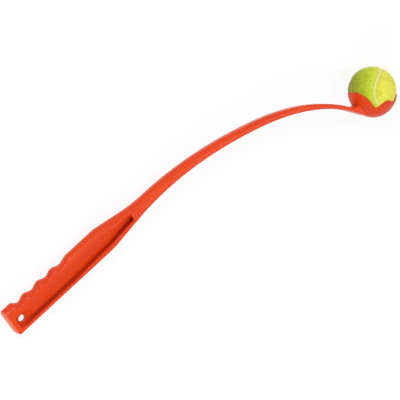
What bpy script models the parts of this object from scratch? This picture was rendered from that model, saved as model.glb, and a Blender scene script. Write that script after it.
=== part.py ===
# Dog ball thrower: a one-piece moulded throwing arm with a tennis ball held in its cup.
# The arm is drawn on its own plane, X along the grip from the butt, Y towards the finger side
# and Z from side to side. The whole is then laid on its side, on the ball and the butt.
# Run with: blender --background --python part.py

from math import acos, asin, atan2, ceil, cos, floor, pi, radians, sin, sqrt, tan
from types import SimpleNamespace

import bmesh
import bpy
from mathutils import Euler, Matrix, Vector

# Ball, in metres
BALL_RADIUS = 0.0329             # over the felt
FELT_THICKNESS = 0.0032
CORE_WALL = 0.0033               # rubber core
SEAM_WIDTH = 0.0034              # valley between the two felt panels
SEAM_RADIUS = 0.0013             # bead of seam rubber in that valley
SEAM_WAVE_SHARE = 0.28           # how far the seam swings from a great circle
SEAM_TURN = (radians(-49.2), radians(21.1), radians(-28.5))   # how the ball lies in the cup
PART_GAP = 0.0003                # between pieces that touch

# Cup
CUP_CLEARANCE = 0.0003           # between the ball and the cup
CUP_LIP_WALL = 0.0008            # wall at the height of the ball's centre
CUP_FLOOR_GAIN = 0.0032          # the wall thickens by this towards the floor
CUP_FLOOR_LEAN = radians(16)     # its thickest place lies this far to the front
CUP_LIP_ROUND = 0.00025
RIM_HIGH = 0.0036                # highest lip, below the ball's centre
RIM_LOW = 0.0238                 # deep notch, below the ball's centre
MOUTH_ANGLE = radians(48.75)     # mouth axis from the grip's axis

# Rim of one side: share of the half turn from the front, share of the way from low to high
RIM_SHARES = ((0.00, 0.97), (0.185, 0.96), (0.24, 0.48), (0.27, 0.41), (0.32, 0.44), (0.39, 0.53),
              (0.45, 0.46), (0.50, 0.28), (0.55, 0.06), (0.59, 0.00), (0.63, 0.09), (0.68, 0.33),
              (0.73, 0.60), (0.79, 0.81), (0.85, 0.95), (0.92, 1.00), (1.00, 0.98))

# Grip
HALF_WIDTH = 0.010               # of the grip, and of the shaft at its root
GRIP_LENGTH = 0.1599             # butt to the start of the taper
GRIP_DEPTH = 0.0345              # lower rim to finger side
BUTT_LIP = 0.0025                # how far the butt end stands over the finger side
BUTT_LEAN = radians(3.5)
BUTT_ROUND = 0.0025              # edges of the butt face
BUTT_HEEL = 0.0053               # lower corner of the butt
LEAN_REACH = 0.030               # the lean dies out over this length
GROOVE_COUNT = 4
GROOVE_PITCH = 0.02346
GROOVE_DEPTH = 0.0034
GROOVE_EXIT_SHARE = 0.657        # slope out of the last groove, as a share of the pitch
FIRST_GROOVE = 0.0272            # butt to the middle of the first finger groove
LIP_FALL = 0.0107                # slope from the butt lip down to that groove
HOLE_RADIUS = 0.0048             # for hanging the thrower up
HOLE_ALONG = 0.0174
HOLE_UP = 0.0141

# Recess in each side of the grip
RECESS_START = 0.0075            # solid end behind the butt face
RECESS_WALL = 0.0020             # run of the steep wall at that end
SLOT_END = 0.208                 # tip of the recess, from the butt
SLOT_ROUND = 0.0060              # length of the rounded tip
RIM_THICKNESS = 0.0036           # lower rim of the grip
RIM_ROUND = 0.0010
RIM_GAIN = 0.0020                # the rim gets this much thicker
RIM_GAIN_START = 0.090           # from here, by the butt, to the start of the taper
WEB_HALF = 0.0020                # half of the wall that is left in the middle
RECESS_FILLET = 0.0016
FLANK_ANGLE = radians(25.5)      # where the round finger side runs into the recess floor
SLOT_FLANK_ANGLE = radians(8)    # the same at the slot's tip
BUTT_FLANK_ANGLE = radians(60)   # the same round the hole, where the floor is deeper
BUTT_FLANK_REACH = 0.030         # along the recess, until the floor has its usual depth

# Taper and shaft
TAPER_LENGTH = 0.0717            # of the lower side
FINGER_TAPER = 0.0635            # of the finger side
TAPER_SOFT_SHARES = (0.02, 0.10)   # how gently the taper starts and ends
ROOT_RISE = 0.0082               # lower edge at the shaft's root
ROOT_DEPTH = 0.01615
SHAFT_REACH = 0.31015            # root to neck, along the grip's axis
SHAFT_DROP = 0.10155             # root to neck, across it
MID_REACH = 0.1933               # root to the shaft's middle knot
MID_DROP = 0.02744
ROOT_HEADING = radians(2.93)
MID_HEADING = radians(-17.4)
NECK_HEADING = radians(-52.8)
EARLY_DEPTH = 0.00825            # pulls on the thickness on the way
LATE_DEPTH = 0.01115
TIP_DEPTH = 0.0045               # thickness of the strip at the neck
TIP_HALF_WIDTH = 0.0109
ROOT_CROWN = 0.0085              # rounding of the finger side
TIP_CROWN = 0.0020
SHAFT_EDGE = 0.0017              # rounding of the lower side
WIDENING_POWER = 1.8             # the strip gets wider mostly near the cup

# Neck: from the strip's end to its foot under the cup
NECK_STANDOFF = 0.0018           # strip's end behind the cup, along the cup
NECK_RISE = 0.0103               # strip's end over the cup's floor
FOOT_REACH = 0.0090              # the foot ends this far past the middle of the cup
FOOT_HALF_WIDTH = 0.0035
FOOT_SINK = 0.0008               # the foot's lower side ends this deep in the cup's wall
RAMP_START = 0.0065              # slope from the strip up the cup's rear
RAMP_RISE = 0.0070
RAMP_LENGTH = 0.0085

# Facets
GROOVE_STEPS = 6                 # stations for each finger groove
CAP_STEPS = 3
PLAIN_STEPS = 3
TAPER_STEPS = 6
SLOT_STEPS = 4
LAST_STATION_SHARE = 0.4         # of the grip, on the way from the slot's tip to the shaft's root
SPAN_STEPS = 8                   # stations on each span of the shaft
NECK_STEPS = 9
EDGE_STEPS = 2
FLOOR_STEPS = 4
CROWN_STEPS = 6
HOLE_SIDES = 28
CUP_TURNS = 72
CUP_RINGS = 16
LIP_SEGMENTS = 2
FELT_LEVEL = 4                   # subdivisions of the icosphere
SEAM_STEPS = 72
SEAM_RESOLUTION = 1
CORE_TURNS = 24
CORE_ARC_STEPS = 6
MERGE = 0.00001
SLIVER = 0.00002                 # edges shorter than this are closed up after the cuts
SMOOTH_ANGLE = radians(35)

# What follows from the driving sizes
CUP_INNER = BALL_RADIUS + CUP_CLEARANCE
CUP_OUTER = CUP_INNER + CUP_LIP_WALL
CUP_FLOOR = CUP_OUTER + CUP_FLOOR_GAIN * cos(CUP_FLOOR_LEAN) ** 2
CUP_THICKEST = CUP_OUTER + CUP_FLOOR_GAIN
FELT_INNER = BALL_RADIUS - FELT_THICKNESS
CORE_RADIUS = FELT_INNER - PART_GAP
CORE_INNER = CORE_RADIUS - CORE_WALL
FINGER_AXIS = GRIP_DEPTH - HALF_WIDTH
ROOT_X = GRIP_LENGTH + TAPER_LENGTH
ROOT_Y = ROOT_RISE + ROOT_DEPTH / 2
CUP_ALONG = Vector((sin(MOUTH_ANGLE), -cos(MOUTH_ANGLE), 0))   # away from the shaft
MOUTH_AXIS = Vector((cos(MOUTH_ANGLE), sin(MOUTH_ANGLE), 0))
SIDEWAYS = Vector((0, 0, 1))
ROOT_POINT = Vector((ROOT_X, ROOT_Y, 0))
MID_POINT = ROOT_POINT + Vector((MID_REACH, -MID_DROP, 0))
NECK_POINT = ROOT_POINT + Vector((SHAFT_REACH, -SHAFT_DROP, 0))
BALL_CENTRE = (NECK_POINT + CUP_ALONG * (CUP_OUTER + NECK_STANDOFF)
               + MOUTH_AXIS * (CUP_FLOOR - NECK_RISE))
FOOT_POINT = (BALL_CENTRE + CUP_ALONG * FOOT_REACH
              - MOUTH_AXIS * (CUP_FLOOR - FOOT_SINK - TIP_DEPTH / 2))
FOOT_HEADING = MOUTH_ANGLE - pi / 2


def lerp(start, end, share):
    return start + (end - start) * share


def clamp(share):
    return min(max(share, 0), 1)


def half_wave(share):
    return (1 - cos(pi * clamp(share))) / 2


def soft_ramp(share, soft_start, soft_end):
    """Straight rise from 0 to 1 whose first and last shares are eased."""
    share = clamp(share)
    speed = 1 / (1 - soft_start / 2 - soft_end / 2)
    if share < soft_start:
        return speed * share ** 2 / (2 * soft_start)
    if share > 1 - soft_end:
        return 1 - speed * (1 - share) ** 2 / (2 * soft_end)
    return speed * (share - soft_start / 2)


def blended(share, *values):
    """Smooth run from the first value to the last, pulled by those between."""
    while len(values) > 1:
        values = [lerp(start, end, share) for start, end in zip(values, values[1:])]
    return values[0]


def bezier(start, start_heading, end, end_heading, share):
    """Point and heading on a cubic curve between two knots of the arm's plane."""
    pull = (end - start).length / 3
    handle_a = start + Vector((cos(start_heading), sin(start_heading), 0)) * pull
    handle_b = end - Vector((cos(end_heading), sin(end_heading), 0)) * pull
    first = start.lerp(handle_a, share)
    middle = handle_a.lerp(handle_b, share)
    last = handle_b.lerp(end, share)
    before = first.lerp(middle, share)
    after = middle.lerp(last, share)
    step = after - before
    return before.lerp(after, share), atan2(step.y, step.x)


# Scene

def clear_scene():
    for obj in list(bpy.data.objects):
        bpy.data.objects.remove(obj)
    for collection in list(bpy.data.collections):
        bpy.data.collections.remove(collection)


def add_collection(name):
    collection = bpy.data.collections.new(name)
    bpy.context.scene.collection.children.link(collection)
    return collection


def add_material(name, colour, roughness):
    material = bpy.data.materials.new(name)
    material.use_nodes = True
    shader = material.node_tree.nodes["Principled BSDF"]
    shader.inputs["Base Color"].default_value = (*colour, 1)
    shader.inputs["Roughness"].default_value = roughness
    shader.inputs["Metallic"].default_value = 0
    material.diffuse_color = (*colour, 1)
    return material


def add_object(name, data, collection, parent, material=None):
    obj = bpy.data.objects.new(name, data)
    collection.objects.link(obj)
    obj.parent = parent
    if material:
        data.materials.append(material)
    return obj


def add_empty(name, collection, parent=None):
    return add_object(name, None, collection, parent)


def mesh_from(bm, name):
    mesh = bpy.data.meshes.new(name)
    bm.to_mesh(mesh)
    bm.free()
    return mesh


def smooth(mesh):
    mesh.shade_smooth()
    mesh.set_sharp_from_angle(angle=SMOOTH_ANGLE)


def as_tool(obj):
    obj.hide_render = True
    obj.display_type = "WIRE"
    return obj


def without_slivers(mesh):
    bm = bmesh.new()
    bm.from_mesh(mesh)
    bmesh.ops.triangulate(bm, faces=bm.faces)
    bmesh.ops.dissolve_degenerate(bm, dist=SLIVER, edges=bm.edges)
    bmesh.ops.triangulate(bm, faces=bm.faces)
    bm.to_mesh(mesh)
    bm.free()
    return mesh


def boolean(obj, operation, tool):
    modifier = obj.modifiers.new(f"{operation.lower()} {tool.name}", "BOOLEAN")
    modifier.operation = operation
    modifier.solver = "EXACT"
    modifier.object = tool


def evaluated_mesh(obj):
    bpy.context.view_layer.update()
    graph = bpy.context.evaluated_depsgraph_get()
    return bpy.data.meshes.new_from_object(obj.evaluated_get(graph))


# Throwing arm

def finger_side(x):
    """Height of the grip's finger side, with its lip and grooves."""
    groove = GRIP_DEPTH - GROOVE_DEPTH
    last_groove = FIRST_GROOVE + (GROOVE_COUNT - 1) * GROOVE_PITCH
    if x < FIRST_GROOVE:
        share = (x - FIRST_GROOVE + LIP_FALL) / LIP_FALL
        return lerp(GRIP_DEPTH + BUTT_LIP, groove, half_wave(share))
    if x < last_groove:
        wave = (1 - cos(2 * pi * (x - FIRST_GROOVE) / GROOVE_PITCH)) / 2
        return groove + GROOVE_DEPTH * wave
    share = (x - last_groove) / (GROOVE_PITCH * GROOVE_EXIT_SHARE)
    return lerp(groove, GRIP_DEPTH, half_wave(share))


def grip_station(x, cap_angle=pi / 2):
    """One station of the grip or its taper; the cap angle rounds the butt's edges."""
    share = soft_ramp((x - GRIP_LENGTH) / TAPER_LENGTH, *TAPER_SOFT_SHARES)
    finger_share = soft_ramp((x - GRIP_LENGTH) / FINGER_TAPER, *TAPER_SOFT_SHARES)
    inset = BUTT_ROUND * (1 - sin(cap_angle))
    heel = max(BUTT_HEEL - x, 0)
    low = BUTT_HEEL - sqrt(BUTT_HEEL ** 2 - heel ** 2)
    high = finger_side(x) + (ROOT_RISE + ROOT_DEPTH - GRIP_DEPTH) * finger_share
    crown = lerp(HALF_WIDTH, ROOT_CROWN, finger_share)
    axis = lerp(FINGER_AXIS, ROOT_RISE + ROOT_DEPTH - ROOT_CROWN, finger_share)
    half = HALF_WIDTH - inset
    slot_share = clamp((x - GRIP_LENGTH) / (SLOT_END - GRIP_LENGTH))
    rim_share = half_wave((x - RIM_GAIN_START) / (GRIP_LENGTH - RIM_GAIN_START))
    flank = lerp(BUTT_FLANK_ANGLE, FLANK_ANGLE, half_wave((x - RECESS_START) / BUTT_FLANK_REACH))
    return SimpleNamespace(
        centre=Vector((x, 0, 0)), heading=0, lean=tan(BUTT_LEAN) * clamp(1 - x / LEAN_REACH),
        low=low + ROOT_RISE * share, high=high - inset, half=half, edge=lerp(RIM_ROUND, SHAFT_EDGE, share),
        crown=min(crown, half), axis=axis, open=0, narrow=1,
        rim=RIM_THICKNESS + RIM_GAIN * rim_share, flank=lerp(flank, SLOT_FLANK_ANGLE, slot_share))


def grip_stations():
    stations = []
    for step in range(CAP_STEPS + 1):
        angle = pi / 2 * step / CAP_STEPS
        stations.append(grip_station(BUTT_ROUND * (1 - cos(angle)), angle))
    stations.append(grip_station(max(BUTT_HEEL, lerp(BUTT_ROUND, RECESS_START, 0.5))))
    for step in range(CAP_STEPS + 2):
        share = step / (CAP_STEPS + 1)
        station = grip_station(RECESS_START + RECESS_WALL * share)
        station.open = half_wave(share)
        stations.append(station)

    pitch = GROOVE_PITCH / GROOVE_STEPS
    first = ceil((RECESS_START + RECESS_WALL - FIRST_GROOVE) / pitch + 0.5)
    last = floor(GROOVE_STEPS * (GROOVE_COUNT - 1 + GROOVE_EXIT_SHARE))
    places = [FIRST_GROOVE + pitch * step for step in range(first, last + 1)]
    grooves_end = FIRST_GROOVE + GROOVE_PITCH * (GROOVE_COUNT - 1 + GROOVE_EXIT_SHARE)
    for step in range(PLAIN_STEPS):
        places.append(lerp(grooves_end, GRIP_LENGTH, step / PLAIN_STEPS))
    for step in range(TAPER_STEPS + 1):
        places.append(lerp(GRIP_LENGTH, SLOT_END - SLOT_ROUND, step / TAPER_STEPS))
    for place in places:
        station = grip_station(place)
        station.open = 1
        stations.append(station)

    for step in range(1, SLOT_STEPS + 1):
        angle = pi / 2 * step / SLOT_STEPS
        station = grip_station(SLOT_END - SLOT_ROUND * (1 - sin(angle)))
        station.narrow = max(cos(angle), RIM_ROUND / RIM_THICKNESS)
        station.open = 1 if step < SLOT_STEPS else 0
        stations.append(station)
    stations.append(grip_station(lerp(SLOT_END, ROOT_X, LAST_STATION_SHARE)))
    return stations


def strip_station(centre, heading, low, high, half, crown, edge):
    return SimpleNamespace(
        centre=centre, heading=heading, lean=0, low=low, high=high, half=half, edge=min(edge, half),
        crown=min(crown, half), axis=high - min(crown, half), open=None)


def shaft_stations():
    """Two curved spans from the grip's taper to the neck, wider and thinner on the way."""
    stations = []
    knots = ((ROOT_POINT, ROOT_HEADING), (MID_POINT, MID_HEADING), (NECK_POINT, NECK_HEADING))
    for span in range(2):
        for step in range(SPAN_STEPS + span):
            share = step / SPAN_STEPS
            centre, heading = bezier(*knots[span], *knots[span + 1], share)
            along = (span + share) / 2
            depth = blended(along, ROOT_DEPTH, EARLY_DEPTH, LATE_DEPTH, TIP_DEPTH)
            half = lerp(HALF_WIDTH, TIP_HALF_WIDTH, along ** WIDENING_POWER)
            crown = lerp(ROOT_CROWN, TIP_CROWN, along)
            stations.append(strip_station(centre, heading, -depth / 2, depth / 2, half, crown, SHAFT_EDGE))
    return stations


def neck_stations():
    """The strip runs on under the cup, rises in a fillet behind it and narrows to a foot."""
    whole = (FOOT_POINT - NECK_POINT).dot(CUP_ALONG)
    ramp_end = RAMP_START + RAMP_LENGTH
    stations = []
    for step in range(1, NECK_STEPS + 1):
        centre, heading = bezier(NECK_POINT, NECK_HEADING, FOOT_POINT, FOOT_HEADING, step / NECK_STEPS)
        along = (centre - NECK_POINT).dot(CUP_ALONG)
        high = TIP_DEPTH / 2 + RAMP_RISE * half_wave((along - RAMP_START) / RAMP_LENGTH)
        slim = half_wave((along - ramp_end) / (whole - ramp_end))
        half = lerp(TIP_HALF_WIDTH, FOOT_HALF_WIDTH, slim)
        stations.append(strip_station(centre, heading, -TIP_DEPTH / 2, high, half, TIP_CROWN, SHAFT_EDGE))
    return stations


def recess_line(station):
    """From the rim's inner edge down to the web and up the floor to the round finger side."""
    slope = sin(pi / 4)
    wall = station.low + station.rim
    points = [(wall - RIM_ROUND, station.half),
              (wall - RIM_ROUND * (1 - slope), station.half - RIM_ROUND * (1 - slope)),
              (wall, station.half - RIM_ROUND),
              (wall, WEB_HALF + RECESS_FILLET),
              (wall + RECESS_FILLET * (1 - slope), WEB_HALF + RECESS_FILLET * (1 - slope)),
              (wall + RECESS_FILLET, WEB_HALF)]
    flank_up = station.axis - station.crown * sin(station.flank)
    flank_out = station.half - station.crown * (1 - cos(station.flank))
    run = flank_up - wall - RECESS_FILLET
    rise = flank_out - WEB_HALF
    power = max(tan(station.flank) * run / rise, 1)
    for step in range(1, FLOOR_STEPS + 1):
        share = step / FLOOR_STEPS
        points.append((wall + RECESS_FILLET + run * share, WEB_HALF + rise * share ** power))
    middle = (wall + flank_up) / 2
    return [(lerp(middle, up, station.narrow), lerp(station.half, out, station.open)) for up, out in points]


def half_section(station):
    """Half of a station's outline, from its lower middle round one side to its upper middle."""
    points = [(station.low, 0)]
    for step in range(EDGE_STEPS + 1):
        angle = pi / 2 * step / EDGE_STEPS
        points.append((station.low + station.edge * (1 - cos(angle)),
                       station.half - station.edge * (1 - sin(angle))))
    flank = 0
    if station.open is None:
        count = FLOOR_STEPS + 6
        for step in range(1, count + 1):
            points.append((lerp(station.low + station.edge, station.axis, step / (count + 1)), station.half))
    else:
        points += recess_line(station)
        flank = station.flank * station.open * station.narrow
    for step in range(1, CROWN_STEPS):
        angle = lerp(-flank, pi / 2, step / CROWN_STEPS)
        rise = station.high - station.axis if angle > 0 else station.crown
        points.append((station.axis + rise * sin(angle), station.half - station.crown * (1 - cos(angle))))
    points.append((station.high, 0))
    return points


def loft(bm, stations):
    """Skin over the half outlines, closed at both ends and open on the middle plane."""
    rings = []
    for station in stations:
        along = Vector((cos(station.heading), sin(station.heading), 0))
        up = Vector((-sin(station.heading), cos(station.heading), 0))
        rings.append([bm.verts.new(station.centre + (up + along * station.lean) * height + SIDEWAYS * out)
                      for height, out in half_section(station)])
    for ring, after in zip(rings, rings[1:]):
        for corner in range(len(ring) - 1):
            bm.faces.new((ring[corner], after[corner], after[corner + 1], ring[corner + 1]))
    bm.faces.new(rings[0])
    bm.faces.new(reversed(rings[-1]))


def rim_depth(turn_share):
    """Depth of the cup's rim below the ball's centre, at a share of the half turn."""
    for (start, start_height), (end, end_height) in zip(RIM_SHARES, RIM_SHARES[1:]):
        if turn_share <= end:
            height = lerp(start_height, end_height, (turn_share - start) / (end - start))
            return lerp(RIM_LOW, RIM_HIGH, height)
    return lerp(RIM_LOW, RIM_HIGH, RIM_SHARES[-1][1])


def add_cup(collection, parent):
    """Lower half of a sphere, drawn up to the lobed rim and thickened outwards."""
    bm = bmesh.new()
    bmesh.ops.create_uvsphere(bm, u_segments=CUP_TURNS, v_segments=CUP_RINGS, radius=CUP_INNER)
    upper = [vert for vert in bm.verts if vert.co.z > MERGE]
    bmesh.ops.delete(bm, geom=upper, context="VERTS")
    walls = {}
    for vert in bm.verts:
        polar = acos(clamp(-vert.co.z / CUP_INNER))
        turn = atan2(vert.co.y, vert.co.x) + pi / CUP_TURNS
        polar *= acos(rim_depth(min(abs(turn), 2 * pi - turn) / pi) / CUP_OUTER) / (pi / 2)
        vert.co = Vector((sin(polar) * cos(turn), sin(polar) * sin(turn), -cos(polar))) * CUP_INNER
        facing = sin(polar) * cos(turn) * sin(CUP_FLOOR_LEAN) + cos(polar) * cos(CUP_FLOOR_LEAN)
        wall = CUP_LIP_WALL + CUP_FLOOR_GAIN * max(facing, 0) ** 2
        walls[vert.index] = wall / (CUP_THICKEST - CUP_INNER)
    cup = as_tool(add_object("cup_shell", mesh_from(bm, "cup_shell"), collection, parent))
    group = cup.vertex_groups.new(name="wall")
    for index, share in walls.items():
        group.add([index], share, "REPLACE")
    solidify = cup.modifiers.new("wall", "SOLIDIFY")
    solidify.thickness = CUP_THICKEST - CUP_INNER
    solidify.offset = 1
    solidify.vertex_group = group.name
    bevel = cup.modifiers.new("lips", "BEVEL")
    bevel.width = CUP_LIP_ROUND
    bevel.segments = LIP_SEGMENTS
    bevel.limit_method = "ANGLE"
    bevel.angle_limit = radians(60)
    return cup


def add_hole_cutter(collection, parent):
    bm = bmesh.new()
    bmesh.ops.create_cone(bm, cap_ends=True, segments=HOLE_SIDES, radius1=HOLE_RADIUS,
                          radius2=HOLE_RADIUS, depth=HALF_WIDTH * 3)
    cutter = as_tool(add_object("hole_cutter", mesh_from(bm, "hole_cutter"), collection, parent))
    cutter.location = (HOLE_ALONG, HOLE_UP, 0)
    return cutter


def add_seat_cutter(collection, parent):
    """Clears the arm out of the ball's seat; its surface lies inside the cup's wall."""
    bm = bmesh.new()
    bmesh.ops.create_uvsphere(bm, u_segments=CUP_TURNS, v_segments=CUP_RINGS * 2,
                              radius=CUP_INNER + CUP_LIP_WALL / 2)
    return as_tool(add_object("seat_cutter", mesh_from(bm, "seat_cutter"), collection, parent))


def add_thrower(parts, tools, root, cup_frame, plastic):
    bm = bmesh.new()
    loft(bm, grip_stations() + shaft_stations() + neck_stations())
    thrower = add_object("thrower", mesh_from(bm, "thrower"), parts, root, plastic)
    mirror = thrower.modifiers.new("other side", "MIRROR")
    mirror.use_axis = (False, False, True)
    mirror.merge_threshold = MERGE
    boolean(thrower, "DIFFERENCE", add_hole_cutter(tools, root))
    boolean(thrower, "DIFFERENCE", add_seat_cutter(tools, cup_frame))
    boolean(thrower, "UNION", add_cup(tools, cup_frame))
    thrower.data = without_slivers(evaluated_mesh(thrower))
    thrower.modifiers.clear()
    smooth(thrower.data)


# Ball

def seam_direction(angle):
    """Unit vector to the seam, which swings to and fro about a great circle."""
    swing = SEAM_WAVE_SHARE
    main = 1 - swing
    direction = Vector((main * cos(angle) + swing * cos(3 * angle),
                        main * sin(angle) - swing * sin(3 * angle),
                        2 * sqrt(main * swing) * sin(2 * angle)))
    return (Euler(SEAM_TURN).to_matrix() @ direction).normalized()


def seam_directions():
    return [seam_direction(2 * pi * step / SEAM_STEPS) for step in range(SEAM_STEPS)]


def add_valley_cutter(collection, parent):
    """A closed band, square in section, that parts the felt along the seam."""
    bm = bmesh.new()
    inner = FELT_INNER - FELT_THICKNESS
    outer = BALL_RADIUS + FELT_THICKNESS
    directions = seam_directions()
    rings = []
    for step, direction in enumerate(directions):
        ahead = directions[(step + 1) % SEAM_STEPS] - directions[step - 1]
        side = ahead.cross(direction).normalized() * (SEAM_WIDTH / 2)
        corners = (direction * inner - side, direction * inner + side,
                   direction * outer + side, direction * outer - side)
        rings.append([bm.verts.new(corner) for corner in corners])
    for step, ring in enumerate(rings):
        after = rings[(step + 1) % SEAM_STEPS]
        for corner in range(4):
            other = (corner + 1) % 4
            bm.faces.new((ring[corner], ring[other], after[other], after[corner]))
    bmesh.ops.recalc_face_normals(bm, faces=bm.faces)
    return as_tool(add_object("valley_cutter", mesh_from(bm, "valley_cutter"), collection, parent))


def felt_islands(bm):
    """The two felt panels, as lists of faces, that the seam leaves of the shell."""
    left = set(bm.faces)
    islands = []
    while left:
        island = set()
        edge_of_search = [left.pop()]
        while edge_of_search:
            face = edge_of_search.pop()
            island.add(face)
            for edge in face.edges:
                for neighbour in edge.link_faces:
                    if neighbour in left:
                        left.remove(neighbour)
                        edge_of_search.append(neighbour)
        islands.append(list(island))
    return sorted(islands, key=lambda faces: sum(face.calc_center_median().x for face in faces))


def add_felt_panels(parts, tools, pivot, felt):
    """A hollow sphere of felt, parted along the seam into its two dumb-bell panels."""
    bm = bmesh.new()
    bmesh.ops.create_icosphere(bm, subdivisions=FELT_LEVEL, radius=BALL_RADIUS)
    outer_faces = list(bm.faces)
    bmesh.ops.create_icosphere(bm, subdivisions=FELT_LEVEL, radius=FELT_INNER)
    known = set(outer_faces)
    bmesh.ops.reverse_faces(bm, faces=[face for face in bm.faces if face not in known])
    shell = as_tool(add_object("felt_shell", mesh_from(bm, "felt_shell"), tools, pivot))
    boolean(shell, "DIFFERENCE", add_valley_cutter(tools, pivot))
    cut = evaluated_mesh(shell)
    for number, name in enumerate(("felt_panel_a", "felt_panel_b")):
        bm = bmesh.new()
        bm.from_mesh(cut)
        islands = felt_islands(bm)
        others = [face for index, island in enumerate(islands) if index != number for face in island]
        bmesh.ops.delete(bm, geom=others, context="FACES")
        panel = add_object(name, mesh_from(bm, name), parts, pivot, felt)
        smooth(panel.data)


def add_seam(parts, pivot, rubber):
    """The bead of seam rubber, a closed tube in the valley between the panels."""
    curve = bpy.data.curves.new("seam_path", "CURVE")
    curve.dimensions = "3D"
    curve.bevel_depth = SEAM_RADIUS
    curve.bevel_resolution = SEAM_RESOLUTION
    spline = curve.splines.new("POLY")
    spline.points.add(SEAM_STEPS - 1)
    spline.use_cyclic_u = True
    for point, direction in zip(spline.points, seam_directions()):
        point.co = (*direction * (FELT_INNER + SEAM_RADIUS), 1)
    path = add_object("seam_path", curve, parts, pivot)
    mesh = evaluated_mesh(path)
    mesh.name = "ball_seam"
    bpy.data.objects.remove(path)
    bm = bmesh.new()
    bm.from_mesh(mesh)
    bmesh.ops.remove_doubles(bm, verts=bm.verts, dist=MERGE)
    bmesh.ops.recalc_face_normals(bm, faces=bm.faces)
    bm.to_mesh(mesh)
    bm.free()
    add_object("ball_seam", mesh, parts, pivot, rubber)
    smooth(mesh)


def add_core_half(name, parts, pivot, rubber, flipped):
    """Half of the hollow rubber core, turned about the mouth axis."""
    level = PART_GAP / 2
    outer_start = asin(level / CORE_RADIUS)
    inner_start = asin(level / CORE_INNER)
    outline = []
    for step in range(CORE_ARC_STEPS + 1):
        angle = lerp(pi / 2, outer_start, step / CORE_ARC_STEPS)
        outline.append((CORE_RADIUS * cos(angle), CORE_RADIUS * sin(angle)))
    for step in range(CORE_ARC_STEPS + 1):
        angle = lerp(inner_start, pi / 2, step / CORE_ARC_STEPS)
        outline.append((CORE_INNER * cos(angle), CORE_INNER * sin(angle)))
    bm = bmesh.new()
    verts = [bm.verts.new((max(radius, 0), 0, height)) for radius, height in outline]
    for start, end in zip(verts, verts[1:]):
        bm.edges.new((start, end))
    half = add_object(name, mesh_from(bm, name), parts, pivot, rubber)
    if flipped:
        half.rotation_euler = (pi, 0, 0)
    screw = half.modifiers.new("turn", "SCREW")
    screw.steps = CORE_TURNS
    screw.render_steps = CORE_TURNS
    screw.use_merge_vertices = True
    screw.merge_threshold = MERGE
    return half


# Whole

def lay_down(root, parts):
    """Tilts the arm onto the ball and the butt's side, and centres it over its footprint."""
    butt_low = HALF_WIDTH
    tilt = asin((BALL_RADIUS - butt_low) / BALL_CENTRE.x)
    root.rotation_euler = (0, -tilt, 0)
    bpy.context.view_layer.update()
    graph = bpy.context.evaluated_depsgraph_get()
    corners = []
    for obj in parts.objects:
        if obj.type == "MESH":
            shown = obj.evaluated_get(graph)
            corners += [shown.matrix_world @ vert.co for vert in shown.to_mesh().vertices]
            shown.to_mesh_clear()
    low = Vector([min(corner[axis] for corner in corners) for axis in range(3)])
    high = Vector([max(corner[axis] for corner in corners) for axis in range(3)])
    root.location = (-(low.x + high.x) / 2, -(low.y + high.y) / 2, -low.z)
    bpy.context.view_layer.update()
    return high - low


def main():
    clear_scene()
    parts = add_collection("ball_thrower")
    tools = add_collection("cutters")
    plastic = add_material("orange_plastic", (0.78, 0.085, 0.028), 0.34)
    rubber = add_material("core_rubber", (0.045, 0.045, 0.048), 0.75)
    felt = add_material("yellow_felt", (0.66, 0.76, 0.06), 0.95)
    seam_rubber = add_material("seam_rubber", (0.80, 0.78, 0.42), 0.65)

    root = add_empty("thrower_root", parts)
    cup_frame = add_empty("cup_frame", parts, root)
    cup_frame.matrix_local = Matrix.LocRotScale(
        BALL_CENTRE, Matrix((CUP_ALONG, -SIDEWAYS, MOUTH_AXIS)).transposed(), None)
    ball_pivot = add_empty("ball_pivot", parts, cup_frame)
    bpy.context.view_layer.update()

    add_thrower(parts, tools, root, cup_frame, plastic)
    add_core_half("ball_core_lower", parts, ball_pivot, rubber, True)
    add_core_half("ball_core_upper", parts, ball_pivot, rubber, False)
    add_felt_panels(parts, tools, ball_pivot, felt)
    add_seam(parts, ball_pivot, seam_rubber)
    size = lay_down(root, parts)
    print("size in mm:", [round(side * 1000, 1) for side in size])
    print("ball centre:", [round(value, 5) for value in ball_pivot.matrix_world.translation])
    print("mouth axis:", [round(value, 5) for value in ball_pivot.matrix_world.col[2].xyz])


main()
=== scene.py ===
from math import asin, atan2, ceil, cos, floor, pi, radians, sin, sqrt, tan
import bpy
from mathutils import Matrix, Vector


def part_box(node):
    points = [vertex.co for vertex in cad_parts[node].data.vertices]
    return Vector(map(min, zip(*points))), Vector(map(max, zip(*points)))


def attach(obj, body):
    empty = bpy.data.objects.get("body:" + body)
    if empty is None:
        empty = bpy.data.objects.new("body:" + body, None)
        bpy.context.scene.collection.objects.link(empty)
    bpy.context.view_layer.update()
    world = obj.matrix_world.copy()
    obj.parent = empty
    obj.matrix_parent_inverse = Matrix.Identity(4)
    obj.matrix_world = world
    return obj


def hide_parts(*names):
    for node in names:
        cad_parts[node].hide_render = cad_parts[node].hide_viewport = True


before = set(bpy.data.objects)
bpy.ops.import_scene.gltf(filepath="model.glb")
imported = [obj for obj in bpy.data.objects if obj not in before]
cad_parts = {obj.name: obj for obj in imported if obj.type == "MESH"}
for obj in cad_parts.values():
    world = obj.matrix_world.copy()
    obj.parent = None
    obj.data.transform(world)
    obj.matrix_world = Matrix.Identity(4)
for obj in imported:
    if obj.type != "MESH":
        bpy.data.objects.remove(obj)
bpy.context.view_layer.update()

from types import SimpleNamespace

import bmesh
import bpy
import numpy as np
from mathutils import Euler, Matrix, Vector, noise

# A moulded throwing arm with a tennis ball in its cup. The arm is drawn on a plane of its own:
# X along the grip from the butt, Y towards the finger side, Z from side to side. Everything is
# then carried into the frame's place, where the arm lies on its side.

print("frame loaded:", ", ".join(sorted(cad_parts)))


# Small helpers

def lerp(start, end, share):
    return start + (end - start) * share


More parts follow.
